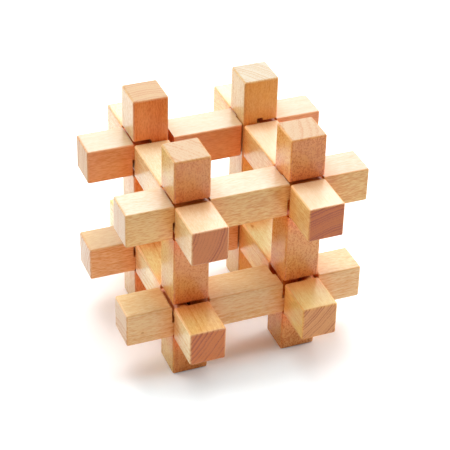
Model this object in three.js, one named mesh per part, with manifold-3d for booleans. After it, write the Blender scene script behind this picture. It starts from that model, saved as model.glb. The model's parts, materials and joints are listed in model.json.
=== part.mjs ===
// Twelve-stick cage puzzle: four sticks along each axis, which cross three at a time in eight corner joints.
// Crossbars run left to right (X), key bars run front to back (Y) and posts stand upright (Z).
// At each joint the crossbar and the post lap each other, and the key bar passes them on a round neck.
// With the key bars a quarter turn round on their necks, the crossbars slide out and the cage comes apart.
// Millimetres, +Z up. The origin is on the ground, under the middle of the cage.

import * as THREE from 'three';
import { RoundedBoxGeometry } from 'three/addons/geometries/RoundedBoxGeometry.js';
import { mergeVertices } from 'three/addons/utils/BufferGeometryUtils.js';
import Module from 'manifold-3d';

// Driving dimensions.
const STICK = 15; // side of a stick's square section
const OPENING = 32.7; // clear span between two sticks that lie side by side
const OVERHANG = 19.5; // length of each end that stands out past the joint
const FIT = 0.3; // gap between two faces that lie side by side inside a joint
const SLACK = 0.6; // gap between a shoulder and the stick that it stops against
const EDGE = 0.7; // radius of the eased outer edges
const EDGE_STEPS = 2; // facets across an eased edge
const NECK_SIDES = 40; // facets round a neck

// Worked out from them.
const HALF = STICK / 2;
const PITCH = OPENING + STICK; // from the middle of one stick to the middle of the next
const LENGTH = OPENING + 2 * STICK + 2 * OVERHANG;
const SHOULDER = HALF + SLACK; // from the middle of a joint to the full section again
const LAP = FIT / 2; // from the middle of a joint to a face that two pieces share
const NECK_RADIUS = HALF / 2 - LAP;
const THROUGH = STICK; // how far a cut is carried, past the outside of the stick

const WOOD = {
  crossbar: { color: 0xe6c08c, roughness: 0.55, metalness: 0 },
  post: { color: 0xd9a873, roughness: 0.55, metalness: 0 },
  key_bar: { color: 0xe2b983, roughness: 0.55, metalness: 0 },
};

const SIDES = [-1, 1];
const LEFT_RIGHT = { [-1]: 'left', [1]: 'right' };
const FRONT_BACK = { [-1]: 'front', [1]: 'back' };
const BOTTOM_TOP = { [-1]: 'bottom', [1]: 'top' };

const wasm = await Module();
wasm.setup();

/** Makes a solid that can be joined and cut from a closed geometry. */
function toSolid(geometry) {
  geometry.deleteAttribute('normal');
  geometry.deleteAttribute('uv');
  const merged = mergeVertices(geometry);
  return new wasm.Manifold(new wasm.Mesh({
    numProp: 3,
    vertProperties: merged.attributes.position.array,
    triVerts: merged.index.array,
  }));
}

/** Makes a geometry from a finished solid. */
function toGeometry(solid) {
  const mesh = solid.getMesh();
  const geometry = new THREE.BufferGeometry();
  geometry.setAttribute('position', new THREE.BufferAttribute(mesh.vertProperties, 3));
  geometry.setIndex(new THREE.BufferAttribute(mesh.triVerts, 1));
  geometry.computeVertexNormals();
  return geometry;
}

/** A whole stick along `axis` (0 is X, 1 is Y, 2 is Z), with its middle at the origin. */
function stick(axis) {
  const size = [STICK, STICK, STICK];
  size[axis] = LENGTH;
  return toSolid(new RoundedBoxGeometry(...size, EDGE_STEPS, EDGE));
}

/** A box at the joint with its middle at `centre`, from `low` to `high` along the outward directions `out`. */
function jointBox(centre, out, low, high) {
  const size = high.map((value, axis) => value - low[axis]);
  const middle = high.map((value, axis) => centre[axis] + out[axis] * (value + low[axis]) / 2);
  return toSolid(new THREE.BoxGeometry(...size).translate(...middle));
}

/**
 * A crossbar, along X, on the front or back (y) and bottom or top (z) of the cage.
 * Each joint keeps its outer half in z, less the inner corner that the post's core passes through.
 */
function crossbar(y, z) {
  let solid = stick(0);
  for (const x of SIDES) {
    const centre = [x * PITCH / 2, 0, 0];
    const out = [x, y, z];
    const lap = jointBox(centre, out, [-SHOULDER, -THROUGH, -THROUGH], [SHOULDER, THROUGH, LAP]);
    const corner = jointBox(centre, out, [-SHOULDER, -THROUGH, -THROUGH], [LAP, LAP, THROUGH]);
    solid = solid.subtract(lap).subtract(corner);
  }
  return solid;
}

/**
 * A post, along Z, on the left or right (x) and front or back (y) of the cage.
 * Each joint keeps its inner half in x, less the outer corner that the crossbar's core passes through.
 */
function post(x, y) {
  let solid = stick(2);
  for (const z of SIDES) {
    const centre = [0, 0, z * PITCH / 2];
    const out = [x, y, z];
    const lap = jointBox(centre, out, [-LAP, -THROUGH, -SHOULDER], [THROUGH, THROUGH, SHOULDER]);
    const corner = jointBox(centre, out, [-THROUGH, -LAP, -LAP], [THROUGH, THROUGH, SHOULDER]);
    solid = solid.subtract(lap).subtract(corner);
  }
  return solid;
}

/**
 * A key bar, along Y, on the left or right (x) and bottom or top (z) of the cage.
 * Each joint keeps only a round neck, in the quarter of the section that is outward in x and inward in z.
 */
function keyBar(x, z) {
  let solid = stick(1);
  for (const y of SIDES) {
    const centre = [0, y * PITCH / 2, 0];
    const gap = jointBox(centre, [x, y, z], [-THROUGH, -SHOULDER, -THROUGH], [THROUGH, SHOULDER, THROUGH]);
    const neckLength = 2 * (SHOULDER + NECK_RADIUS); // its ends are sunk in the full section
    const neck = new THREE.CylinderGeometry(NECK_RADIUS, NECK_RADIUS, neckLength, NECK_SIDES);
    neck.translate(x * HALF / 2, centre[1], -z * HALF / 2);
    solid = solid.subtract(gap).add(toSolid(neck));
  }
  return solid;
}

/** The named mesh of one finished stick, with its middle at `position`. */
function piece(name, solid, wood, position) {
  const mesh = new THREE.Mesh(toGeometry(solid), new THREE.MeshStandardMaterial(wood));
  mesh.name = name;
  mesh.position.set(...position);
  return mesh;
}

const group = new THREE.Group();
group.name = 'cage_puzzle';
group.position.z = LENGTH / 2;

for (const one of SIDES) {
  for (const other of SIDES) {
    const crossbarName = `crossbar_${FRONT_BACK[one]}_${BOTTOM_TOP[other]}`;
    const postName = `post_${LEFT_RIGHT[one]}_${FRONT_BACK[other]}`;
    const keyName = `key_bar_${LEFT_RIGHT[one]}_${BOTTOM_TOP[other]}`;
    const a = one * PITCH / 2;
    const b = other * PITCH / 2;
    group.add(piece(crossbarName, crossbar(one, other), WOOD.crossbar, [0, a, b]));
    group.add(piece(postName, post(one, other), WOOD.post, [a, b, 0]));
    group.add(piece(keyName, keyBar(one, other), WOOD.key_bar, [a, 0, b]));
  }
}

export default group;
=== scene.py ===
"""Looks of a twelve-stick wooden cage puzzle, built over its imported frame.

Crossbars lie along X, key bars along Y and posts along Z, four of each. Every stick is remade with eased
edges and its own notches or necks, and is dressed in its own cut of pale hardwood.
"""
import itertools
import json
import logging
import math
from abc import ABC, abstractmethod
from dataclasses import dataclass, field
from enum import Enum
from typing import Sequence, Union

import bmesh
import bpy
from mathutils import Euler, Matrix, Vector


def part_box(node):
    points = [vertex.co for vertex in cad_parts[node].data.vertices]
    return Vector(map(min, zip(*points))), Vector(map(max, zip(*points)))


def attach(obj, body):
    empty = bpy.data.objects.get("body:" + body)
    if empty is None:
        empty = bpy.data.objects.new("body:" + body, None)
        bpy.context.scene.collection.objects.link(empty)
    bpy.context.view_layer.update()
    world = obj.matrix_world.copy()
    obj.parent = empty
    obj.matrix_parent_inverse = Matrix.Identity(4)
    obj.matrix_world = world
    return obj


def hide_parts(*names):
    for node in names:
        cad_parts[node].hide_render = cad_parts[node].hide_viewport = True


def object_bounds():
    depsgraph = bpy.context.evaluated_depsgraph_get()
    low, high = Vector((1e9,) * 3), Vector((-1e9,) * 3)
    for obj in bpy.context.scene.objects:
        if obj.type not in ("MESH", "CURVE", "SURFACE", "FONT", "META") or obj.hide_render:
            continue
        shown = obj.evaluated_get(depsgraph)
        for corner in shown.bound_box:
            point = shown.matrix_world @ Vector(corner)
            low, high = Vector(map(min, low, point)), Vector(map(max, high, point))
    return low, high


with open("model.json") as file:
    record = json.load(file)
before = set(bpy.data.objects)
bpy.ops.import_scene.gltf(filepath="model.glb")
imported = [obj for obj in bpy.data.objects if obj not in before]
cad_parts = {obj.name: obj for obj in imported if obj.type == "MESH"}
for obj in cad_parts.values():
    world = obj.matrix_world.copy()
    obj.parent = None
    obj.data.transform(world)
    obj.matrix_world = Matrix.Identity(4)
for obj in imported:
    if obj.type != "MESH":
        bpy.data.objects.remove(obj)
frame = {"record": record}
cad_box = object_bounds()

log = logging.getLogger("cage_puzzle")
Solid = bpy.types.Object
Socket = bpy.types.NodeSocket
Number = Union[float, Socket]
Triple = tuple[float, float, float]
Colour = Triple
Joint = tuple[Vector, Vector]  # its middle, and the directions that point out of the cage there

MILLIMETRES = 1000  # in a metre
SIDES = (-1, 1)
WHITE = (1.0, 1.0, 1.0)

FIT = 0.0003  # between two faces side by side inside a joint
SLACK = 0.0004  # between a shoulder and the stick that it stops against
EASED = 0.0009  # radius of the long edges and the ends
EASED_SEGMENTS = 5
CRISP = 0.00015  # radius of the notches' edges
THROUGH = 0.015  # how far a cut is carried, past the outside of the stick

MERGE = 1e-6  # corners that are nearer than this are one
TOUCH = 1e-5  # how near a corner lies to an outline that it is on
FLAT = math.radians(1)  # faces that meet at less than this are one
CREASE = 0.5  # edges that turn by more than this are eased, in radians
SHARP = math.radians(35)  # edges that turn by more than this stay sharp


def linear(red: float, green: float, blue: float) -> Colour:
    """Turns a display colour, 0 to 255, into scene light.

    Args:
        red: Red as displayed.
        green: Green as displayed.
        blue: Blue as displayed.

    Returns:
        The three values in linear light.
    """
    shares = [value / 255 for value in (red, green, blue)]
    return tuple(s / 12.92 if s < 0.04045 else ((s + 0.055) / 1.055) ** 2.4 for s in shares)


def tinted(colour: Colour, tint: Colour) -> Colour:
    """A colour multiplied by a tint."""
    return tuple(one * share for one, share in zip(colour, tint))


def placed(name: str, data: bpy.types.ID) -> bpy.types.Object:
    """Adds an object with this data to the scene."""
    made = bpy.data.objects.new(name, data)
    bpy.context.scene.collection.objects.link(made)
    return made


def shaped(name: str, bm: bmesh.types.BMesh) -> Solid:
    """Adds a finished shape to the scene as an object of its own."""
    mesh = bpy.data.meshes.new(name)
    bm.to_mesh(mesh)
    bm.free()
    return placed(name, mesh)


class Axis(Enum):
    """The direction that a stick runs in."""

    X = 0
    Y = 1
    Z = 2

    @property
    def along(self) -> Vector:
        """The unit vector along the stick."""
        return Vector([float(self.value == n) for n in range(3)])

    @property
    def across(self) -> list[int]:
        """The numbers of the two directions across the stick, in order."""
        return [n for n in range(3) if n != self.value]


class Mask(Enum):
    """The surface masks that a stick's mesh carries for its material."""

    END_GRAIN = "end_grain"
    SECOND_FACES = "second_faces"
    EASED_EDGE = "eased_edge"
    CUT_FACE = "cut_face"
    AWAY_FACE = "away_face"


@dataclass
class Wiring:
    """Places and joins the nodes of one node tree."""

    tree: bpy.types.NodeTree

    @classmethod
    def of(cls, owner: Union[bpy.types.Material, bpy.types.World]) -> "Wiring":
        """Empties the nodes of a new material or world, to be placed and joined."""
        owner.use_nodes = True
        owner.node_tree.nodes.clear()
        return cls(owner.node_tree)

    def add(self, kind: str, **given: object) -> bpy.types.Node:
        """Adds a node.

        Args:
            kind: The node's class name, without its "ShaderNode" start.
            **given: Values for its own properties, and then for its inputs, whose names start with a capital
                and have an underline for each space.

        Returns:
            The new node.
        """
        node = self.tree.nodes.new("ShaderNode" + kind)
        for name, value in given.items():
            if name[0].isupper():
                self.feed(node.inputs[name.replace("_", " ")], value)
            else:
                setattr(node, name, value)
        return node

    def feed(self, socket: Socket, value: object) -> None:
        """Links a socket to `value` if that is an output, and otherwise sets it."""
        if isinstance(value, Socket):
            self.tree.links.new(value, socket)
        else:
            socket.default_value = value

    def sum(self, operation: str, *values: Number, clamp: bool = False) -> Socket:
        """Works out one number from others.

        Args:
            operation: The Math node's operation.
            *values: Its inputs, in order.
            clamp: Whether the result is kept from 0 to 1.

        Returns:
            The result's output.
        """
        node = self.add("Math", operation=operation, use_clamp=clamp)
        for socket, value in zip(node.inputs, values):
            self.feed(socket, value)
        return node.outputs[0]

    def ramp(self, value: Number, low: float, high: float, start: float = 0.0, end: float = 1.0) -> Socket:
        """Eases from `start` to `end` as `value` goes from `low` to `high`.

        Args:
            value: The number that drives it.
            low: Where the change begins.
            high: Where the change ends.
            start: The result at `low` and before.
            end: The result at `high` and after.

        Returns:
            The result's output.
        """
        node = self.add("MapRange", interpolation_type="SMOOTHSTEP")
        for socket, given in zip(node.inputs, (value, low, high, start, end)):
            self.feed(socket, given)
        return node.outputs[0]

    def stretch(self, vector: Socket, size: Triple, shift: Number = 0.0) -> Socket:
        """Divides a position by the size of a feature.

        Args:
            vector: The position.
            size: The feature's size each way.
            shift: Added each way afterwards, so that no two sticks share a pattern.

        Returns:
            The new position's output.
        """
        node = self.add("VectorMath", operation="MULTIPLY_ADD")
        self.feed(node.inputs[0], vector)
        self.feed(node.inputs[1], [1 / one for one in size])
        self.feed(node.inputs[2], shift if isinstance(shift, Socket) else [shift] * 3)
        return node.outputs[0]

    def cloud(self, vector: Socket, detail: float = 2.0, roughness: float = 0.5) -> Socket:
        """Soft noise about 0, from -0.5 to 0.5.

        Args:
            vector: The position, in features.
            detail: How many finer layers it has.
            roughness: How strong those are.

        Returns:
            The noise's output.
        """
        node = self.add("TexNoise", Vector=vector, Scale=1.0, Detail=detail, Roughness=roughness)
        return self.sum("SUBTRACT", node.outputs[0], 0.5)

    def blend(self, share: Number, first: object, second: object, kind: str = "MIX") -> Socket:
        """Mixes two colours.

        Args:
            share: How much of the second.
            first: The first colour.
            second: The second colour.
            kind: The way of mixing.

        Returns:
            The mixed colour's output.
        """
        node = self.add("Mix", data_type="RGBA", blend_type=kind)
        for name, value in ((0, share), (6, first), (7, second)):
            self.feed(node.inputs[name], (*value, 1.0) if isinstance(value, tuple) else value)
        return node.outputs[2]

    def stain(self, colour: object, tint: Colour, share: Number) -> Socket:
        """Multiplies a colour by a tint.

        Args:
            colour: The colour.
            tint: The tint.
            share: How much of the tinted colour shows.

        Returns:
            The stained colour's output.
        """
        return self.blend(share, colour, self.blend(1.0, colour, tint, "MULTIPLY"))

    def split(self, vector: Socket) -> list[Socket]:
        """The three numbers of a vector."""
        return list(self.add("SeparateXYZ", Vector=vector).outputs)

    def join(self, *values: Number) -> Socket:
        """One vector of three numbers."""
        node = self.add("CombineXYZ")
        for socket, value in zip(node.inputs, values):
            self.feed(socket, value)
        return node.outputs[0]


class Effect(ABC):
    """A look that several materials share, kept as one node group with named inputs and outputs."""

    name: str
    takes: tuple[str, ...]
    gives: tuple[str, ...]

    VECTORS = ("Place", "Middle")  # the inputs that aren't single numbers

    def __init__(self) -> None:
        """Makes the group and its sockets, and fills it."""
        self.tree = bpy.data.node_groups.new(self.name, "ShaderNodeTree")
        for direction, sockets in (("INPUT", self.takes), ("OUTPUT", self.gives)):
            for name in sockets:
                kind = "NodeSocketVector" if name in self.VECTORS else "NodeSocketFloat"
                self.tree.interface.new_socket(name, in_out=direction, socket_type=kind)
        self.wiring = Wiring(self.tree)
        start = self.tree.nodes.new("NodeGroupInput")
        self.end = self.tree.nodes.new("NodeGroupOutput")
        self.fill({name: start.outputs[name] for name in self.takes})

    def give(self, name: str, value: Socket) -> None:
        """Joins `value` to the group's output of that name."""
        self.wiring.feed(self.end.inputs[name], value)

    def used(self, w: Wiring, **given: object) -> bpy.types.Node:
        """Adds the effect to a material, with these inputs."""
        return w.add("Group", node_tree=self.tree, **given)

    @abstractmethod
    def fill(self, given: dict[str, Socket]) -> None:
        """Wires the group up from its inputs."""


class GrowthRings(Effect):
    """The tree's yearly rings round its middle, as soft dark lines that wander a little."""

    name = "growth_rings"
    takes = ("Place", "Spacing", "Wander", "Seed")
    gives = ("Line", "Band")

    SLOW_BEND = (22, 22, 70)  # sizes of the slow and the quick wander, in millimetres
    QUICK_BEND = (3.5, 3.5, 22)
    QUICK_SHARE = 0.35
    UNEVEN_PACE = 0.45  # how fast the years' widths change, and by how much
    UNEVEN_SHARE = 1.3
    DARKENS = (0.25, 0.92)  # the shares of a year in which its wood darkens and then ends
    ENDS = (0.94, 1.0)
    FAINTEST = 0.35

    def fill(self, given: dict[str, Socket]) -> None:
        """Wires the rings.

        Args:
            given: Place in millimetres from the tree's middle, ring spacing, wander and seed.
        """
        w = self.wiring
        x, y, _ = w.split(given["Place"])
        slow = w.cloud(w.stretch(given["Place"], self.SLOW_BEND, given["Seed"]), 1.0)
        quick = w.cloud(w.stretch(given["Place"], self.QUICK_BEND, given["Seed"]), 2.0)
        bent = w.sum("MULTIPLY", w.sum("MULTIPLY_ADD", quick, self.QUICK_SHARE, slow), given["Wander"])
        reach = w.sum("SQRT", w.sum("MULTIPLY_ADD", x, x, w.sum("MULTIPLY", y, y)))
        turn = w.sum("DIVIDE", w.sum("ADD", reach, bent), given["Spacing"])
        uneven = w.cloud(w.join(w.sum("MULTIPLY", turn, self.UNEVEN_PACE), given["Seed"], 0.0), 1.0)
        turn = w.sum("MULTIPLY_ADD", uneven, self.UNEVEN_SHARE, turn)
        part = w.sum("FRACT", turn)
        count = w.sum("ADD", w.sum("FLOOR", turn), given["Seed"])
        year = w.add("TexWhiteNoise", noise_dimensions="1D", W=count)
        line = w.sum("MULTIPLY", w.ramp(part, *self.DARKENS), w.ramp(part, *self.ENDS, 1.0, 0.0))
        depth = w.ramp(year.outputs["Value"], 0.0, 1.0, self.FAINTEST, 1.0)
        self.give("Line", w.sum("MULTIPLY", line, depth))
        self.give("Band", w.sum("SUBTRACT", year.outputs["Value"], 0.5))


class Fibre(Effect):
    """Fine streaks and pores along the grain, and slow changes of tone along the stick."""

    name = "fibre"
    takes = ("Place", "Seed")
    gives = ("Streak", "Pore", "Cloud", "Blush")

    STREAK = (0.5, 0.5, 8)  # sizes of the features, in millimetres
    PORE = (0.16, 0.16, 0.9)
    CLOUD = (6, 6, 24)
    BLUSH = (9, 9, 16)
    PORE_EDGE = (0.12, 0.3)  # where in the noise a pore begins and is full
    APART = 31.0  # keeps the blush from following the other patterns

    def fill(self, given: dict[str, Socket]) -> None:
        """Wires the fibres.

        Args:
            given: Place in millimetres from the tree's middle, and seed.
        """
        w = self.wiring
        place, seed = given["Place"], given["Seed"]
        self.give("Streak", w.cloud(w.stretch(place, self.STREAK, seed), 3.0, 0.65))
        self.give("Pore", w.ramp(w.cloud(w.stretch(place, self.PORE, seed), 0.0), *self.PORE_EDGE))
        self.give("Cloud", w.cloud(w.stretch(place, self.CLOUD, seed), 2.0))
        self.give("Blush", w.cloud(w.stretch(place, self.BLUSH, w.sum("ADD", seed, self.APART)), 1.0))


class Speckle(Effect):
    """The cut ends of the rays and vessels: short pale and dark dashes, evenly strewn."""

    name = "speckle"
    takes = ("Place", "Width", "Length", "Seed")
    gives = ("Dash",)

    EDGE = 0.22  # how far into the noise, either way, a dash is full

    def fill(self, given: dict[str, Socket]) -> None:
        """Wires the dashes.

        Args:
            given: Place in millimetres from the tree's middle, a dash's width and length, and seed.
        """
        w = self.wiring
        x, y, z = w.split(given["Place"])
        wide = [w.sum("DIVIDE", one, given["Width"]) for one in (x, y)]
        long = w.sum("DIVIDE", z, given["Length"])
        spot = w.stretch(w.join(*wide, long), (1, 1, 1), given["Seed"])
        self.give("Dash", w.ramp(w.cloud(spot, 1.0, 0.6), -self.EDGE, self.EDGE, -0.5, 0.5))


class PaintedJointShade(Effect):
    """Painted shade: the few millimetres beside each joint, made darker and warmer for the shade there and
    the warm light that the wood bounces into it.
    """

    name = "painted_joint_shade"
    takes = ("Along", "Joint", "Half", "Reach")
    gives = ("Depth",)

    def fill(self, given: dict[str, Socket]) -> None:
        """Wires the painted shade beside each joint.

        Args:
            given: Place along the stick, how far a joint lies from its middle, half the joint's length, and
                the fade's length.
        """
        w = self.wiring
        apart = w.sum("ABSOLUTE", w.sum("SUBTRACT", w.sum("ABSOLUTE", given["Along"]), given["Joint"]))
        self.give("Depth", w.ramp(w.sum("SUBTRACT", apart, given["Half"]), 0.0, given["Reach"], 1.0, 0.0))


class PinKnot(Effect):
    """A small knot: a dark spot drawn out along the grain, in a warmer ring."""

    name = "pin_knot"
    takes = ("Place", "Middle", "Size")
    gives = ("Core", "Halo")

    DRAWN_OUT = (1, 1, 1.8)  # along the grain
    RAGGED = (0.7, 0.7, 1.4)  # size of the unevenness of its edge, in millimetres, and its share
    RAGGED_SHARE = 0.9
    CORE = (0.3, 1.1)  # where the spot and its ring fade, in radii
    HALO = (0.9, 3.2)

    def fill(self, given: dict[str, Socket]) -> None:
        """Wires the knot.

        Args:
            given: Place and the knot's middle in millimetres from the tree's middle, and its radius.
        """
        w = self.wiring
        apart = w.add("VectorMath", operation="SUBTRACT", Vector=given["Place"])
        w.feed(apart.inputs[1], given["Middle"])
        drawn = w.stretch(apart.outputs[0], self.DRAWN_OUT)
        reach = w.add("VectorMath", operation="LENGTH", Vector=drawn)
        ragged = w.cloud(w.stretch(given["Place"], self.RAGGED), 1.0)
        radii = w.sum("DIVIDE", reach.outputs["Value"], given["Size"])
        share = w.sum("MULTIPLY_ADD", ragged, self.RAGGED_SHARE, radii)
        self.give("Core", w.ramp(share, *self.CORE, 1.0, 0.0))
        self.give("Halo", w.ramp(share, *self.HALO, 1.0, 0.0))


@dataclass(frozen=True)
class Knot:
    """A small knot in one stick: its place from the stick's middle and its radius, in millimetres."""

    place: Triple
    size: float
    depth: float = 0.8  # how dark it is, from 0 to 1


@dataclass(frozen=True)
class Timber:
    """One cut of hardwood: its tones, and how the tree's rings and fibres lie in the stick.

    Tones other than `face` are tints of it. The tones of the faces and of the ends carry painted light and
    shade besides the wood's own colour: tops paler and greyer for a painted sheen, fronts and the key bars'
    ends redder and darker for painted warm shade. Lengths are in millimetres and angles in degrees.
    """

    face: Colour  # of the first pair of long faces
    second: Colour = WHITE  # of the second pair
    end: Colour = (0.84, 0.66, 0.60)
    grain: Colour = (0.79, 0.53, 0.32)  # the darkest figure
    end_figure: tuple[Colour, Colour] = ((1.06, 1.16, 1.35), (0.87, 0.62, 0.42))  # palest and darkest
    cut: Colour = (0.9, 0.6, 0.36)  # painted shade inside the notches, darker and redder
    painted_joint_shade: Colour = (1.04, 0.84, 0.66)  # painted shade beside a joint, darker and warmer
    fade: float = 9.0  # length over which the painted shade beside a joint fades
    tip: tuple[int, Colour] = (1, WHITE)  # a side, and the tint that the second pair takes past its joint
    calm: float = 1.0  # share of the figure that the second pair shows
    bark: float = 0.0  # the way to the bark, about the stick's length
    pith: float = 42.0  # how far off the tree's middle lies
    slope: tuple[float, float] = (0.6, 0.4)  # how the stick leans in the tree
    spacing: float = 1.7  # between two rings
    wander: float = 2.2  # how far the rings stray
    rings: float = 0.3  # strength of the rings on the long faces and on the ends
    end_rings: float = 1.5
    streaks: float = 1.0  # strength of the streaks and of the dashes
    speckle: float = 0.6
    dash: tuple[float, float] = (0.34, 1.3)  # a dash's width and length
    blush: float = 0.5  # strength of the pinker patches
    roughness: float = 0.24
    knots: tuple[Knot, ...] = ()
    seed: float = 0.0

    @property
    def away(self) -> Colour:
        """The tone of the faces that look back, right or down: calm, and near to that of fresh maple."""
        own, fresh = 0.2, 0.6
        second = tinted(self.face, self.second)
        return tuple(own * (a + b) + fresh * c for a, b, c in zip(self.face, second, linear(216, 174, 126)))


@dataclass(frozen=True)
class Look:
    """What one stick's material is made with: its wood, its place in the tree, its effects and masks."""

    w: Wiring
    timber: Timber
    turn: Matrix
    spot: Socket
    effects: dict[str, Socket]
    masks: dict[Mask, Socket]


class TimberShop:
    """Holds the shared wood effects and makes each stick's material from them."""

    ON_END = (0.2, 0.8)  # where in its mask the end grain's figure takes over
    ON_SECOND = (0.3, 0.7)  # where in its mask the second pair's figure takes over
    LINE_MEAN = 0.3  # taken off the rings, so that they don't darken the wood as a whole
    TONE_MEAN = 0.36
    BAND = (0.15, 0.5)  # strength on the long faces and on the ends
    END_STREAKS = 0.5
    CLOUD = 0.6
    PORE = 0.15
    TIP = (8, 2)  # the tip's tint comes in from so far before a joint to so far past it, in millimetres
    EASED_SHARE = 0.9
    HALO_SHARE = 0.5
    AWAY_END = (0.88, 0.74, 0.6)
    BLUSH_TINT = (1.02, 0.9, 0.9)
    EASED_TINT = (1.0, 0.82, 0.6)
    HALO_TINT = (0.98, 0.84, 0.62)
    CORE_TINT = (0.62, 0.38, 0.2)
    HEIGHTS = {"Pore": -0.5, "Dash": 0.4, "Line": 0.3}  # as shares of the streaks' height
    BUMP_STRENGTH = 0.2
    BUMP_HEIGHT = 0.0002
    ROUGH_STREAKS = 0.12
    ROUGH_EDGES = 0.25
    ROUGH_ENDS = 0.12
    IOR = 1.6

    def __init__(self, joint: float, half: float) -> None:
        """Builds the shared node groups.

        Args:
            joint: How far a joint's middle lies from a stick's, in millimetres.
            half: Half a stick's section, in millimetres.
        """
        self.joint = joint
        self.half = half
        self.rings = GrowthRings()
        self.fibre = Fibre()
        self.speckle = Speckle()
        self.painted_joint_shade = PaintedJointShade()
        self.knot = PinKnot()

    @staticmethod
    def turned(axis: Axis, timber: Timber) -> Matrix:
        """The turn from a tree standing on Z, bark towards +X, to the stick's own direction.

        Args:
            axis: The way that the stick runs.
            timber: The cut of wood.

        Returns:
            The rotation.
        """
        first, second = [Axis(n).along for n in axis.across]
        angle = math.radians(timber.bark)
        bark = first * math.cos(angle) + second * math.sin(angle)
        turn = Matrix((bark, axis.along.cross(bark), axis.along)).transposed()
        lean = Euler([math.radians(value) for value in (*timber.slope, 0.0)]).to_matrix()
        return turn @ lean

    def read(self, w: Wiring, axis: Axis, centre: Vector, timber: Timber) -> Look:
        """Adds the nodes that a material reads.

        Args:
            w: The material's wiring.
            axis: The way that the stick runs.
            centre: The stick's middle.
            timber: The cut of wood.

        Returns:
            Their outputs, with the wiring, the wood and its turn.
        """
        turn = self.turned(axis, timber)
        place = w.add(
            "Mapping", vector_type="TEXTURE", Vector=w.add("TexCoord").outputs["Object"],
            Location=centre - turn @ Vector((timber.pith / MILLIMETRES, 0, 0)),
            Rotation=turn.to_euler(), Scale=(1 / MILLIMETRES,) * 3,
        )
        spot, seed = place.outputs["Vector"], timber.seed
        wide, long = timber.dash
        nodes = (
            self.rings.used(w, Place=spot, Spacing=timber.spacing, Wander=timber.wander, Seed=seed),
            self.fibre.used(w, Place=spot, Seed=seed),
            self.speckle.used(w, Place=spot, Width=wide, Length=long, Seed=seed),
        )
        effects = {output.name: output for node in nodes for output in node.outputs}
        masks = {mask: w.add("Attribute", attribute_name=mask.value).outputs["Fac"] for mask in Mask}
        return Look(w, timber, turn, spot, effects, masks)

    def tone(self, look: Look) -> Socket:
        """Works out how dark the figure is.

        Args:
            look: What the material is made with.

        Returns:
            The darkness's output, from 0 to 1.
        """
        w, timber, effects, end = look.w, look.timber, look.effects, look.masks[Mask.END_GRAIN]
        line = w.sum("SUBTRACT", effects["Line"], self.LINE_MEAN)
        tone = w.sum("MULTIPLY", line, w.ramp(end, *self.ON_END, timber.rings, timber.end_rings))
        strengths = {
            "Band": w.ramp(end, *self.ON_END, *self.BAND),
            "Streak": w.ramp(end, *self.ON_END, timber.streaks, self.END_STREAKS),
            "Dash": timber.speckle,
            "Cloud": self.CLOUD,
            "Pore": self.PORE,
        }
        for effect, strength in strengths.items():
            tone = w.sum("MULTIPLY_ADD", effects[effect], strength, tone)
        calm = w.ramp(look.masks[Mask.SECOND_FACES], *self.ON_SECOND, 1.0, timber.calm)
        return w.sum("MULTIPLY_ADD", tone, calm, self.TONE_MEAN, clamp=True)

    def grown(self, look: Look) -> Socket:
        """Gives each face its tone, the wood's own colour with painted light and shade in it, and the figure.

        Args:
            look: What the material is made with.

        Returns:
            The colour's output.
        """
        w, timber, end = look.w, look.timber, look.masks[Mask.END_GRAIN]
        colour = w.blend(look.masks[Mask.SECOND_FACES], timber.face, tinted(timber.face, timber.second))
        colour = w.blend(end, colour, tinted(timber.face, timber.end))
        away = w.blend(end, timber.away, tinted(timber.away, self.AWAY_END))
        colour = w.blend(look.masks[Mask.AWAY_FACE], colour, away)
        pale, dark = timber.end_figure
        figure = w.blend(self.tone(look), w.blend(end, WHITE, pale), w.blend(end, timber.grain, dark))
        return w.blend(1.0, colour, figure, "MULTIPLY")

    def aged(self, look: Look, colour: Socket) -> Socket:
        """Warms the wood in patches and on its edges, paints shade into its cuts and beside its joints, and
        tints it past one of them.

        Args:
            look: What the material is made with.
            colour: The colour so far.

        Returns:
            The new colour's output.
        """
        w, timber, masks = look.w, look.timber, look.masks
        blush = w.sum("MULTIPLY", look.effects["Blush"], timber.blush, clamp=True)
        colour = w.stain(colour, self.BLUSH_TINT, blush)
        colour = w.stain(colour, self.EASED_TINT, w.sum("MULTIPLY", masks[Mask.EASED_EDGE], self.EASED_SHARE))
        # Painted shade: darker and redder inside the notches.
        colour = w.stain(colour, timber.cut, masks[Mask.CUT_FACE])
        _, _, along = w.split(look.spot)
        # Painted shade: darker and warmer beside each joint.
        near = self.painted_joint_shade.used(w, Along=along, Joint=self.joint, Half=self.half, Reach=timber.fade)
        colour = w.stain(colour, timber.painted_joint_shade, near.outputs["Depth"])
        (side, tint), (before, beyond) = timber.tip, self.TIP
        start, stop = self.joint - self.half - before, self.joint + self.half + beyond
        past = w.ramp(w.sum("MULTIPLY", along, float(side)), start, stop)
        return w.stain(colour, tint, w.sum("MULTIPLY", past, masks[Mask.SECOND_FACES]))

    def knotted(self, look: Look, colour: Socket) -> Socket:
        """Puts the stick's knots in.

        Args:
            look: What the material is made with.
            colour: The colour so far.

        Returns:
            The new colour's output.
        """
        w = look.w
        for one in look.timber.knots:
            heart = look.turn.transposed() @ Vector(one.place) + Vector((look.timber.pith, 0, 0))
            knot = self.knot.used(w, Place=look.spot, Middle=heart, Size=one.size)
            warm = w.sum("MULTIPLY", knot.outputs["Halo"], one.depth * self.HALO_SHARE)
            colour = w.stain(colour, self.HALO_TINT, warm)
            colour = w.stain(colour, self.CORE_TINT, w.sum("MULTIPLY", knot.outputs["Core"], one.depth))
        return colour

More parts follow.
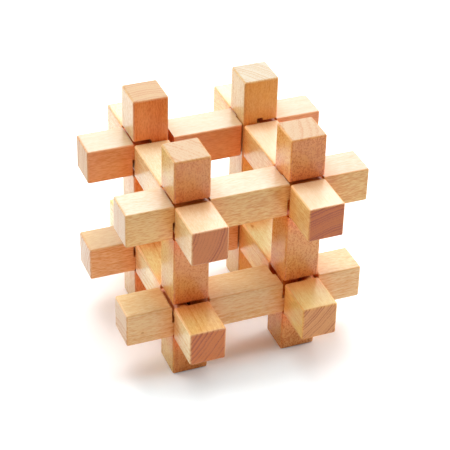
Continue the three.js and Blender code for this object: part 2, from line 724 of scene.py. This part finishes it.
    def material(self, name: str, axis: Axis, centre: Vector, timber: Timber) -> bpy.types.Material:
        """Makes the wood of one stick.

        Args:
            name: The material's name.
            axis: The way that the stick runs.
            centre: The stick's middle.
            timber: The cut of wood.

        Returns:
            The material.
        """
        made = bpy.data.materials.new(name)
        w = Wiring.of(made)
        look = self.read(w, axis, centre, timber)
        colour = self.knotted(look, self.aged(look, self.grown(look)))

        height = look.effects["Streak"]
        for effect, share in self.HEIGHTS.items():
            height = w.sum("MULTIPLY_ADD", look.effects[effect], share, height)
        bump = w.add("Bump", Height=height, Strength=self.BUMP_STRENGTH, Distance=self.BUMP_HEIGHT)

        rough = w.sum("MULTIPLY_ADD", look.effects["Streak"], self.ROUGH_STREAKS, timber.roughness)
        rough = w.sum("MULTIPLY_ADD", look.masks[Mask.EASED_EDGE], self.ROUGH_EDGES, rough)
        rough = w.sum("MULTIPLY_ADD", look.masks[Mask.END_GRAIN], self.ROUGH_ENDS, rough)

        normal = bump.outputs["Normal"]
        shader = w.add("BsdfPrincipled", Base_Color=colour, Roughness=rough, Normal=normal, IOR=self.IOR)
        w.add("OutputMaterial", Surface=shader.outputs["BSDF"])
        return made


@dataclass(frozen=True)
class Relief:
    """Wood that is missing beside the joint on one side, from `low` to `high` outward of its middle.

    Lengths are in millimetres.
    """

    side: int
    low: Triple
    high: Triple


@dataclass
class Stick(ABC):
    """One square stick of the cage, with its places, its fit and its wood."""

    name: str
    body: str
    slot: str
    axis: Axis
    centre: Vector
    section: float
    length: float
    pitch: float
    out: Vector
    timber: Timber
    reliefs: tuple[Relief, ...] = ()
    shape: Solid = field(init=False, repr=False)

    @property
    def half(self) -> float:
        """Half the stick's section."""
        return self.section / 2

    @property
    def shoulder(self) -> float:
        """How far the full section stays from the middle of a joint."""
        return self.half + SLACK

    def joints(self) -> list[Joint]:
        """The stick's two joints, as their middles and the directions that point out of the cage there."""
        found = []
        for side in SIDES:
            out = self.out.copy()
            out[self.axis.value] = side
            found.append((self.centre + self.axis.along * side * self.pitch / 2, out))
        return found

    def carve(self, joint: Joint, low: Sequence[float], high: Sequence[float]) -> Solid:
        """Makes a cutter from `low` to `high` outward of a joint's middle.

        Args:
            joint: The joint.
            low: The cutter's inward corner.
            high: The cutter's outward corner.

        Returns:
            The cutter.
        """
        middle, out = joint
        size = Vector(high) - Vector(low)
        centre = middle + out * (Vector(high) + Vector(low)) / 2
        return self.block("cutter", centre, size)

    @staticmethod
    def block(name: str, centre: Vector, size: Vector) -> Solid:
        """Makes a sharp block, which is then cut or cuts another.

        Args:
            name: The block's name.
            centre: Its middle.
            size: Its size each way.

        Returns:
            The block.
        """
        bm = bmesh.new()
        bmesh.ops.create_cube(bm, size=1.0, matrix=Matrix.LocRotScale(centre, None, size))
        bmesh.ops.recalc_face_normals(bm, faces=bm.faces)
        return shaped(name, bm)

    @abstractmethod
    def cuts(self) -> list[Solid]:
        """The cutters that make this stick's notches."""

    def settle(self) -> None:
        """Makes the stick's modifiers part of its mesh."""
        bpy.context.view_layer.update()
        solid = self.shape.evaluated_get(bpy.context.evaluated_depsgraph_get())
        made = bpy.data.meshes.new_from_object(solid)
        self.shape.modifiers.clear()
        old, self.shape.data = self.shape.data, made
        bpy.data.meshes.remove(old)
        made.name = self.name

    def join(self, tool: Solid, operation: str) -> None:
        """Cuts the stick with a tool or adds the tool to it, and clears the tool away.

        Args:
            tool: The other solid.
            operation: DIFFERENCE or UNION.
        """
        change = self.shape.modifiers.new(operation, "BOOLEAN")
        change.object = tool
        change.operation = operation
        change.solver = "EXACT"
        self.settle()
        bpy.data.meshes.remove(tool.data)

    def ease(self) -> None:
        """Rounds the stick's long edges and ends, and takes the sharpness off its notches."""
        bm = bmesh.new()
        bm.from_mesh(self.shape.data)
        bmesh.ops.remove_doubles(bm, verts=bm.verts, dist=MERGE)
        bmesh.ops.dissolve_limit(bm, angle_limit=FLAT, verts=bm.verts, edges=bm.edges)
        weight = bm.edges.layers.float.new("bevel_weight_edge")
        for edge in bm.edges:
            if edge.is_manifold and edge.is_convex and edge.calc_face_angle() > CREASE:
                outer = all(self.on_outline(corner.co) for corner in edge.verts)
                edge[weight] = 1.0 if outer else CRISP / EASED
        bm.to_mesh(self.shape.data)
        bm.free()
        bevel = self.shape.modifiers.new("ease", "BEVEL")
        bevel.limit_method = "WEIGHT"
        bevel.width = EASED
        bevel.segments = EASED_SEGMENTS
        self.settle()

    def on_outline(self, point: Vector) -> bool:
        """Whether a corner lies on one of the outer edges of the whole stick."""
        local = point - self.centre
        limits = [self.length / 2 if n == self.axis.value else self.half for n in range(3)]
        return sum(abs(abs(local[n]) - limits[n]) < TOUCH for n in range(3)) >= 2

    def mark(self) -> None:
        """Writes the masks.

        A corner on an eased edge faces away from the stick's core, which is the stick less its eased skin.
        """
        still, spread, far_side = 0.97, 0.2, (1, 1, -1)
        mesh = self.shape.data
        core = [(self.length / 2 if n == self.axis.value else self.half) - EASED for n in range(3)]
        for mask in Mask:
            mesh.attributes.new(mask.value, "FLOAT", "CORNER")
        end, second, eased, cut, away = [mesh.attributes[mask.value] for mask in Mask]
        for face in mesh.polygons:
            middle = face.center - self.centre
            inside = all(abs(middle[n]) < core[n] + EASED / 2 for n in range(3))
            for corner in face.loop_indices:
                local = mesh.vertices[mesh.loops[corner].vertex_index].co - self.centre
                way = local - Vector([max(-core[n], min(core[n], local[n])) for n in range(3)])
                if way.length < EASED * still:
                    way = face.normal.copy()
                way.normalize()
                end.data[corner].value = 0.0 if inside else way[self.axis.value] ** 2
                second.data[corner].value = 0.0 if inside else way[self.axis.across[1]] ** 2
                cut.data[corner].value = float(inside)
                far = sum(value ** 2 for value, sign in zip(way, far_side) if value * sign > 0)
                away.data[corner].value = 0.0 if inside else far
                eased.data[corner].value = min(1.0, (1 - max(abs(value) for value in way)) / spread)

    def build(self) -> None:
        """Builds the stick's mesh."""
        size = Vector([self.length if n == self.axis.value else self.section for n in range(3)])
        self.shape = self.block(self.name + "_wood", self.centre, size)
        for cutter in self.cuts():
            self.join(cutter, "DIFFERENCE")
        self.ease()
        for relief in self.reliefs:
            corners = [Vector(corner) / MILLIMETRES for corner in (relief.low, relief.high)]
            self.join(self.carve(self.joints()[relief.side > 0], *corners), "DIFFERENCE")
        self.close()
        self.finish_shape()
        for face in self.shape.data.polygons:
            face.use_smooth = True
        self.shape.data.set_sharp_from_angle(angle=SHARP)
        weigh = self.shape.modifiers.new("flat_faces", "WEIGHTED_NORMAL")
        weigh.keep_sharp = True
        weigh.weight = 100
        self.settle()
        self.mark()

    def close(self) -> None:
        """Fills any thin gap that the cuts left in the surface."""
        bm = bmesh.new()
        bm.from_mesh(self.shape.data)
        bmesh.ops.remove_doubles(bm, verts=bm.verts, dist=MERGE)
        bmesh.ops.holes_fill(bm, edges=[edge for edge in bm.edges if edge.is_boundary], sides=6)
        bm.to_mesh(self.shape.data)
        bm.free()

    def finish_shape(self) -> None:
        """Adds what a stick has besides its notches."""

    def dress(self, shop: TimberShop) -> None:
        """Gives the stick its wood and its place in the frame.

        Args:
            shop: The shared wood effects.
        """
        self.shape.data.materials.clear()
        self.shape.data.materials.append(shop.material(self.name, self.axis, self.centre, self.timber))
        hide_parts(self.name)
        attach(self.shape, self.body)
        log.info("%s: %d faces, rides on %s", self.shape.name, len(self.shape.data.polygons), self.body)


@dataclass
class Crossbar(Stick):
    """A stick along X, which laps the posts and is locked by the key bars."""

    def cuts(self) -> list[Solid]:
        """The cutters of both joints: the inward half, and the corner that the post's core fills."""
        low = (-self.shoulder, -THROUGH, -THROUGH)
        highs = ((self.shoulder, THROUGH, FIT / 2), (FIT / 2, FIT / 2, THROUGH))
        return [self.carve(joint, low, high) for joint in self.joints() for high in highs]


@dataclass
class Post(Stick):
    """An upright stick, which laps the crossbars."""

    def cuts(self) -> list[Solid]:
        """The cutters of both joints: the outward half, and the corner that the crossbar's core fills."""
        lows = ((-FIT / 2, -THROUGH, -self.shoulder), (-THROUGH, -FIT / 2, -FIT / 2))
        high = (THROUGH, THROUGH, self.shoulder)
        return [self.carve(joint, low, high) for joint in self.joints() for low in lows]


@dataclass
class KeyBar(Stick):
    """A stick along Y, which passes each joint on a round neck and turns on it."""

    neck_sides: int = 64  # facets round a neck

    def cuts(self) -> list[Solid]:
        """The cutters of both joints, which take the whole section away."""
        reach = Vector((THROUGH, self.shoulder, THROUGH))
        return [self.carve(joint, -reach, reach) for joint in self.joints()]

    def finish_shape(self) -> None:
        """Puts the round necks in, off the middle of the section and with their ends sunk in it."""
        radius = self.half / 2 - FIT / 2
        depth = 2 * (self.shoulder + radius)
        for middle, out in self.joints():
            bm = bmesh.new()
            place = Vector((middle.x + out.x * self.half / 2, middle.y, middle.z - out.z * self.half / 2))
            turn = Matrix.Rotation(math.pi / 2, 4, "X")
            bmesh.ops.create_cone(
                bm, cap_ends=True, segments=self.neck_sides, radius1=radius, radius2=radius, depth=depth,
                matrix=Matrix.Translation(place) @ turn,
            )
            bmesh.ops.recalc_face_normals(bm, faces=bm.faces)
            self.join(shaped("neck", bm), "UNION")


POST_ENDS = ((1.03, 1.08, 1.12), (0.92, 0.7, 0.5))
KEY_ENDS = ((1.15, 1.3, 1.8), (0.74, 0.5, 0.3))

# Each wood's face, second and end tones carry painted light and shade besides its own colour: tops paler and
# greyer for a painted sheen, fronts and key bar ends redder and darker for painted warm shade.
WOODS = {
    "crossbar_front_top": Timber(
        face=linear(237, 206, 142), second=(0.74, 0.95, 1.68), end=(0.61, 0.61, 0.86),
        calm=0.33, painted_joint_shade=(1.02, 0.8, 0.64), fade=10, tip=(1, (1, 0.84, 0.81)),
        slope=(-3, 0.6), spacing=1.5, wander=3.4, rings=0.16,
        streaks=1.7, speckle=1.1, dash=(0.4, 2.6), seed=7.3,
    ),
    "crossbar_front_bottom": Timber(
        face=linear(243, 218, 172), second=(0.82, 0.82, 0.75), end=(0.57, 0.51, 0.50),
        calm=0.85, painted_joint_shade=(1.02, 0.8, 0.64), fade=10,
        bark=78, slope=(-1.5, 0.8), spacing=2.2, rings=0.34, end_rings=0.7,
        streaks=1.4, speckle=0.65, dash=(0.42, 2.4), knots=(Knot((-44.3, -7.5, -2.1), 0.5),), seed=14.6,
    ),
    "crossbar_back_top": Timber(
        face=linear(238, 166, 109), second=(0.69, 1.43, 2.73), end=(0.53, 0.70, 0.63),
        calm=0.3, tip=(1, (1, 0.92, 0.92)),
        bark=10, rings=0.15,
        streaks=1.1, dash=(0.42, 2.4), seed=21.9,
    ),
    "crossbar_back_bottom": Timber(
        face=linear(249, 204, 157), second=(0.63, 0.71, 0.56), end=(0.53, 0.63, 0.78),
        calm=0.4,
        bark=24, slope=(0.8, 0.4), rings=0.2,
        streaks=2.2, speckle=1, dash=(0.4, 3), seed=29.2,
    ),
    "post_left_front": Timber(
        face=linear(211, 183, 106), second=(1.22, 0.81, 0.85), end=(0.65, 0.57, 0.96),
        end_figure=POST_ENDS, painted_joint_shade=(1.06, 0.68, 0.44), fade=11, tip=(1, (1, 0.93, 0.86)),
        bark=34, slope=(0.5, 0.8), spacing=1.9, wander=3, rings=0.2, end_rings=1.6,
        streaks=1.3, speckle=1.2, dash=(0.62, 0.85), seed=36.5,
    ),
    "post_left_back": Timber(
        face=linear(217, 196, 155), second=(1.38, 0.63, 0.27), end=(0.58, 0.43, 0.30),
        end_figure=POST_ENDS, calm=1.4, painted_joint_shade=(1.02, 0.86, 0.7),
        bark=90, slope=(0.3, 0.5), spacing=1.5,
        streaks=1.5, dash=(0.46, 1.6), seed=43.8,
    ),
    "post_right_front": Timber(
        face=linear(231, 185, 109), second=(1.05, 0.95, 1.09), end=(0.53, 0.55, 0.89),
        end_figure=POST_ENDS, calm=1.25, painted_joint_shade=(1.06, 0.68, 0.44), fade=11, tip=(1, (0.95, 0.74, 0.52)),
        bark=-18, slope=(0.5, 0.4), spacing=3.2, wander=2.6, rings=0.2,
        speckle=1.6, dash=(0.65, 0.85), seed=51.1,
    ),
    "post_right_back": Timber(
        face=linear(222, 202, 147), second=(1.31, 0.89, 0.45), end=(0.60, 0.63, 0.91),
        end_figure=POST_ENDS, calm=0.9, painted_joint_shade=(1.02, 0.84, 0.66),
        bark=34, slope=(0.4, 0.4), spacing=1.2, rings=0.2, end_rings=0.9,
        streaks=1.2, dash=(0.46, 1), seed=58.4,
    ),
    "key_bar_left_top": Timber(
        face=linear(222, 205, 161), second=(0.98, 1.04, 1.26), end=(0.66, 0.22, 0.05),
        end_figure=KEY_ENDS, calm=0.4, painted_joint_shade=(1.05, 0.82, 0.58), fade=11, tip=(-1, (1, 0.9, 0.87)),
        bark=-23, slope=(0.6, 0.6), spacing=1.4, rings=0.15, end_rings=1.6,
        streaks=1.3, speckle=0.7, dash=(0.44, 1.6), seed=65.7,
    ),
    "key_bar_left_bottom": Timber(
        face=linear(232, 224, 184), second=(1.02, 0.93, 0.64), end=(0.62, 0.17, 0.02),
        end_figure=KEY_ENDS, calm=0.8, painted_joint_shade=(1.05, 0.66, 0.48), fade=13, tip=(-1, (1, 0.8, 0.67)),
        bark=-34, slope=(0.6, 1.6), spacing=1.8, wander=2.8, rings=0.5, end_rings=1.6,
        streaks=1.3, dash=(0.44, 1.6), seed=73,
    ),
    "key_bar_right_top": Timber(
        face=linear(238, 211, 145), second=(0.86, 0.98, 1.68), end=(0.53, 0.15, 0.01),
        end_figure=KEY_ENDS, calm=0.25, painted_joint_shade=(1.05, 0.8, 0.58), fade=11,
        bark=105, slope=(0.5, 0.4), spacing=1.1, rings=0.2, end_rings=1.2,
        streaks=1.3, speckle=0.7, dash=(0.44, 2.4), seed=80.3,
    ),
    "key_bar_right_bottom": Timber(
        face=linear(250, 232, 150), second=(0.89, 1.07, 1.59), end=(0.62, 0.32, 0.22),
        end_figure=KEY_ENDS, calm=0.65, painted_joint_shade=(1.05, 0.66, 0.48), fade=13, tip=(-1, (0.98, 0.8, 0.64)),
        bark=-42, slope=(1, 1.2), spacing=1.25, rings=0.25, end_rings=1.3,
        streaks=1.5, speckle=0.45, dash=(0.44, 1.8), knots=(Knot((-4.3, 10.9, 7.5), 0.9),), seed=87.6,
    ),
}

# Slots in the crossbars under the posts' shoulders, and in the posts behind the key bars.
UNDER_POST = tuple(Relief(side, (-7.45, -8, 6.5), (7.45, 8, 8)) for side in SIDES)
BEHIND_KEY = tuple(Relief(side, (-8, 6.2, -8.5), (8, 8, 7.3)) for side in SIDES)

RELIEFS = {
    "crossbar_front_top": UNDER_POST,
    "crossbar_front_bottom": UNDER_POST + (Relief(1, (-9.5, -8, -8), (-7.5, 0.5, 2)),),
    "crossbar_back_top": UNDER_POST + (Relief(-1, (-9.9, -8, -8), (-7.5, 1, 8)),),
    "crossbar_back_bottom": UNDER_POST,
    "post_left_front": BEHIND_KEY + (
        Relief(1, (-8, 0, 7), (8, 8, 8.7)), Relief(1, (0, -8, 7), (8, 8, 8.7)),
    ),
    "post_right_front": BEHIND_KEY + (Relief(-1, (-8, -8, -7.4), (-4.5, 0.5, 2)),),
    "post_left_back": BEHIND_KEY + (Relief(1, (0.2, -8, 7), (8, 8, 8.7)),),
    "post_right_back": BEHIND_KEY + (Relief(1, (-1.5, -8, 7), (1, 8, 9.2)),),
}


@dataclass
class Cage:
    """The whole puzzle: four sticks along each axis."""

    sticks: list[Stick] = field(default_factory=list)

    KINDS = ((Crossbar, "crossbar", Axis.X), (Post, "post", Axis.Z), (KeyBar, "key_bar", Axis.Y))
    WORDS = (("left", "right"), ("front", "back"), ("bottom", "top"))  # the two sides along X, Y and Z

    def plan(self) -> None:
        """Reads each stick's place and size off the frame, and chooses its wood."""
        low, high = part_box("post_left_front")
        far_low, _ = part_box("post_right_front")
        shared = {"section": high.x - low.x, "length": high.z - low.z, "pitch": far_low.x - low.x}
        bodies = frame["record"]["behaviour"]["bodies"]
        homes = {node: body for body, nodes in bodies.items() for node in nodes}
        for sides in itertools.product(SIDES, SIDES):
            for kind, family, axis in self.KINDS:
                out = Vector()
                for n, side in zip(axis.across, sides):
                    out[n] = side
                name = "_".join((family, *(self.WORDS[n][side > 0] for n, side in zip(axis.across, sides))))
                low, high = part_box(name)
                self.sticks.append(kind(
                    name=name, body=homes[name], slot=family + "_wood", axis=axis, centre=(low + high) / 2,
                    out=out, timber=WOODS[name], reliefs=RELIEFS.get(name, ()), **shared,
                ))

    def build(self) -> None:
        """Builds every stick."""
        for stick in self.sticks:
            stick.build()

    def dress(self, shop: TimberShop) -> None:
        """Dresses every stick from the shared wood effects."""
        for stick in self.sticks:
            stick.dress(shop)


@dataclass(frozen=True)
class Lamp:
    """A soft white rectangular lamp that faces the puzzle, placed from its middle, in metres and watts."""

    name: str
    place: Triple
    size: tuple[float, float]
    power: float


LAMPS = (
    Lamp("zenith", (0, 0, 1.6), (1.6, 1.6), 21.8),
    Lamp("over_back", (0.2, 0.7, 1.6), (1.4, 1), 20.6),
    Lamp("left_back", (-1.2, 1.1, 0.7), (1, 0.9), 14.9),
    Lamp("back_spot", (0.62, 1.53, 1.12), (0.9, 0.9), 4.8),
    Lamp("left_high", (-1.1, 0.1, 1.3), (1, 0.9), 3.1),
    Lamp("right_high", (1.1, 0.1, 1.3), (1, 0.9), 4.7),
    Lamp("right_low", (1.6, 0.2, 0.35), (1, 0.6), 18.2),
)


@dataclass
class Studio:
    """The floor, the soft light and the camera.

    The floor's glow is for the camera alone. It thins the shadow in front of the puzzle, less towards the
    right, and half as much between its posts.
    """

    middle: Vector
    eye: Vector = Vector((-0.2035, -0.5007, 0.36475))  # from the middle
    aim: Vector = Vector((0.00149, -0.00276, -0.0029))
    roll: float = 1.66  # degrees
    lens: float = 126.9
    reach: float = 0.8  # from the floor's middle to its edges
    ambient: float = 0.04
    paper: Colour = (0.95, 0.95, 0.95)  # the floor as it looks
    bounce: Colour = (0.95, 0.76, 0.55)  # the floor as it throws light back
    glow: Colour = (0.14, 0.25, 0.29)
    front: tuple[float, float] = (-0.042, -0.024)  # Y over which the glow in front fades
    right: tuple[float, float] = (0.012, 0.032)  # X over which it fades, and the share that stays
    right_share: float = 0.3
    between: tuple[float, float] = (-0.024, -0.014)  # Y and X over which the glow between the posts comes in
    inward: tuple[float, float] = (-0.002, 0.006)
    between_share: float = 0.5

    def camera(self) -> None:
        """Adds the camera."""
        made = placed("camera", bpy.data.cameras.new("camera"))
        made.data.lens = self.lens
        made.data.clip_start, made.data.clip_end = 0.05, 20
        towards = (self.aim - self.eye).to_track_quat("-Z", "Y").to_matrix()
        made.location = self.middle + self.eye
        made.rotation_euler = (towards @ Matrix.Rotation(math.radians(self.roll), 3, "Z")).to_euler()
        bpy.context.scene.camera = made

    @staticmethod
    def seen(w: Wiring) -> Socket:
        """Whether a ray comes from the camera, off gloss or through glass, and not as soft light.

        Args:
            w: The tree of the material or world that asks.

        Returns:
            The answer's output, 0 or 1.
        """
        path = w.add("LightPath").outputs
        indirect = w.sum("MAXIMUM", path["Is Glossy Ray"], path["Is Transmission Ray"])
        return w.sum("MAXIMUM", path["Is Camera Ray"], indirect)

    def floor(self) -> None:
        """Adds the pale floor, white to look at and a little warm in the light that it throws back."""
        bm = bmesh.new()
        bmesh.ops.create_grid(bm, x_segments=8, y_segments=8, size=self.reach)
        floor = shaped("floor", bm)
        paper = bpy.data.materials.new("paper")
        w = Wiring.of(paper)
        matt = w.add("BsdfDiffuse", Color=w.blend(self.seen(w), self.bounce, self.paper))
        x, y, _ = w.split(w.add("TexCoord").outputs["Object"])
        sideways = w.ramp(x, *self.right, 1.0, self.right_share)
        front = w.sum("MULTIPLY", w.ramp(y, *self.front, 1.0, 0.0), sideways)
        inner = w.sum("MULTIPLY", w.ramp(y, *self.between, 0.0, self.between_share), w.ramp(x, *self.inward))
        path = w.add("LightPath").outputs
        strength = w.sum("MULTIPLY", path["Is Camera Ray"], w.sum("MAXIMUM", front, inner))
        glow = w.add("Emission", Color=(*self.glow, 1.0), Strength=strength)
        both = w.add("AddShader")
        w.feed(both.inputs[0], matt.outputs["BSDF"])
        w.feed(both.inputs[1], glow.outputs["Emission"])
        w.add("OutputMaterial", Surface=both.outputs["Shader"])
        floor.data.materials.append(paper)

    def sky(self) -> None:
        """Makes the surroundings white to look at and dimmer as a light."""
        world = bpy.data.worlds.new("surroundings")
        bpy.context.scene.world = world
        w = Wiring.of(world)
        strength = w.ramp(self.seen(w), 0.0, 1.0, self.ambient, 1.0)
        glow = w.add("Background", Color=(*WHITE, 1.0), Strength=strength)
        w.add("OutputWorld", Surface=glow.outputs["Background"])

    def light(self, lamp: Lamp) -> None:
        """Adds one lamp.

        Args:
            lamp: The lamp.
        """
        made = placed(lamp.name, bpy.data.lights.new(lamp.name, "AREA"))
        made.data.shape = "RECTANGLE"
        made.data.size, made.data.size_y = lamp.size
        made.data.energy = lamp.power
        made.location = self.middle + Vector(lamp.place)
        made.rotation_euler = (-Vector(lamp.place)).to_track_quat("-Z", "Y").to_euler()
        made.visible_camera = False

    def build(self) -> None:
        """Sets up everything round the puzzle."""
        self.camera()
        self.floor()
        self.sky()
        for lamp in LAMPS:
            self.light(lamp)
        bpy.context.scene.view_settings.view_transform = "Standard"


def main() -> None:
    """Builds the studio and the puzzle, in order."""
    logging.basicConfig(level=logging.INFO, format="%(name)s: %(message)s")
    low, high = cad_box
    Studio(middle=(low + high) / 2).build()
    cage = Cage()
    cage.plan()
    cage.build()
    first = cage.sticks[0]
    cage.dress(TimberShop(first.pitch / 2 * MILLIMETRES, first.half * MILLIMETRES))


if __name__ == "__main__":
    main()
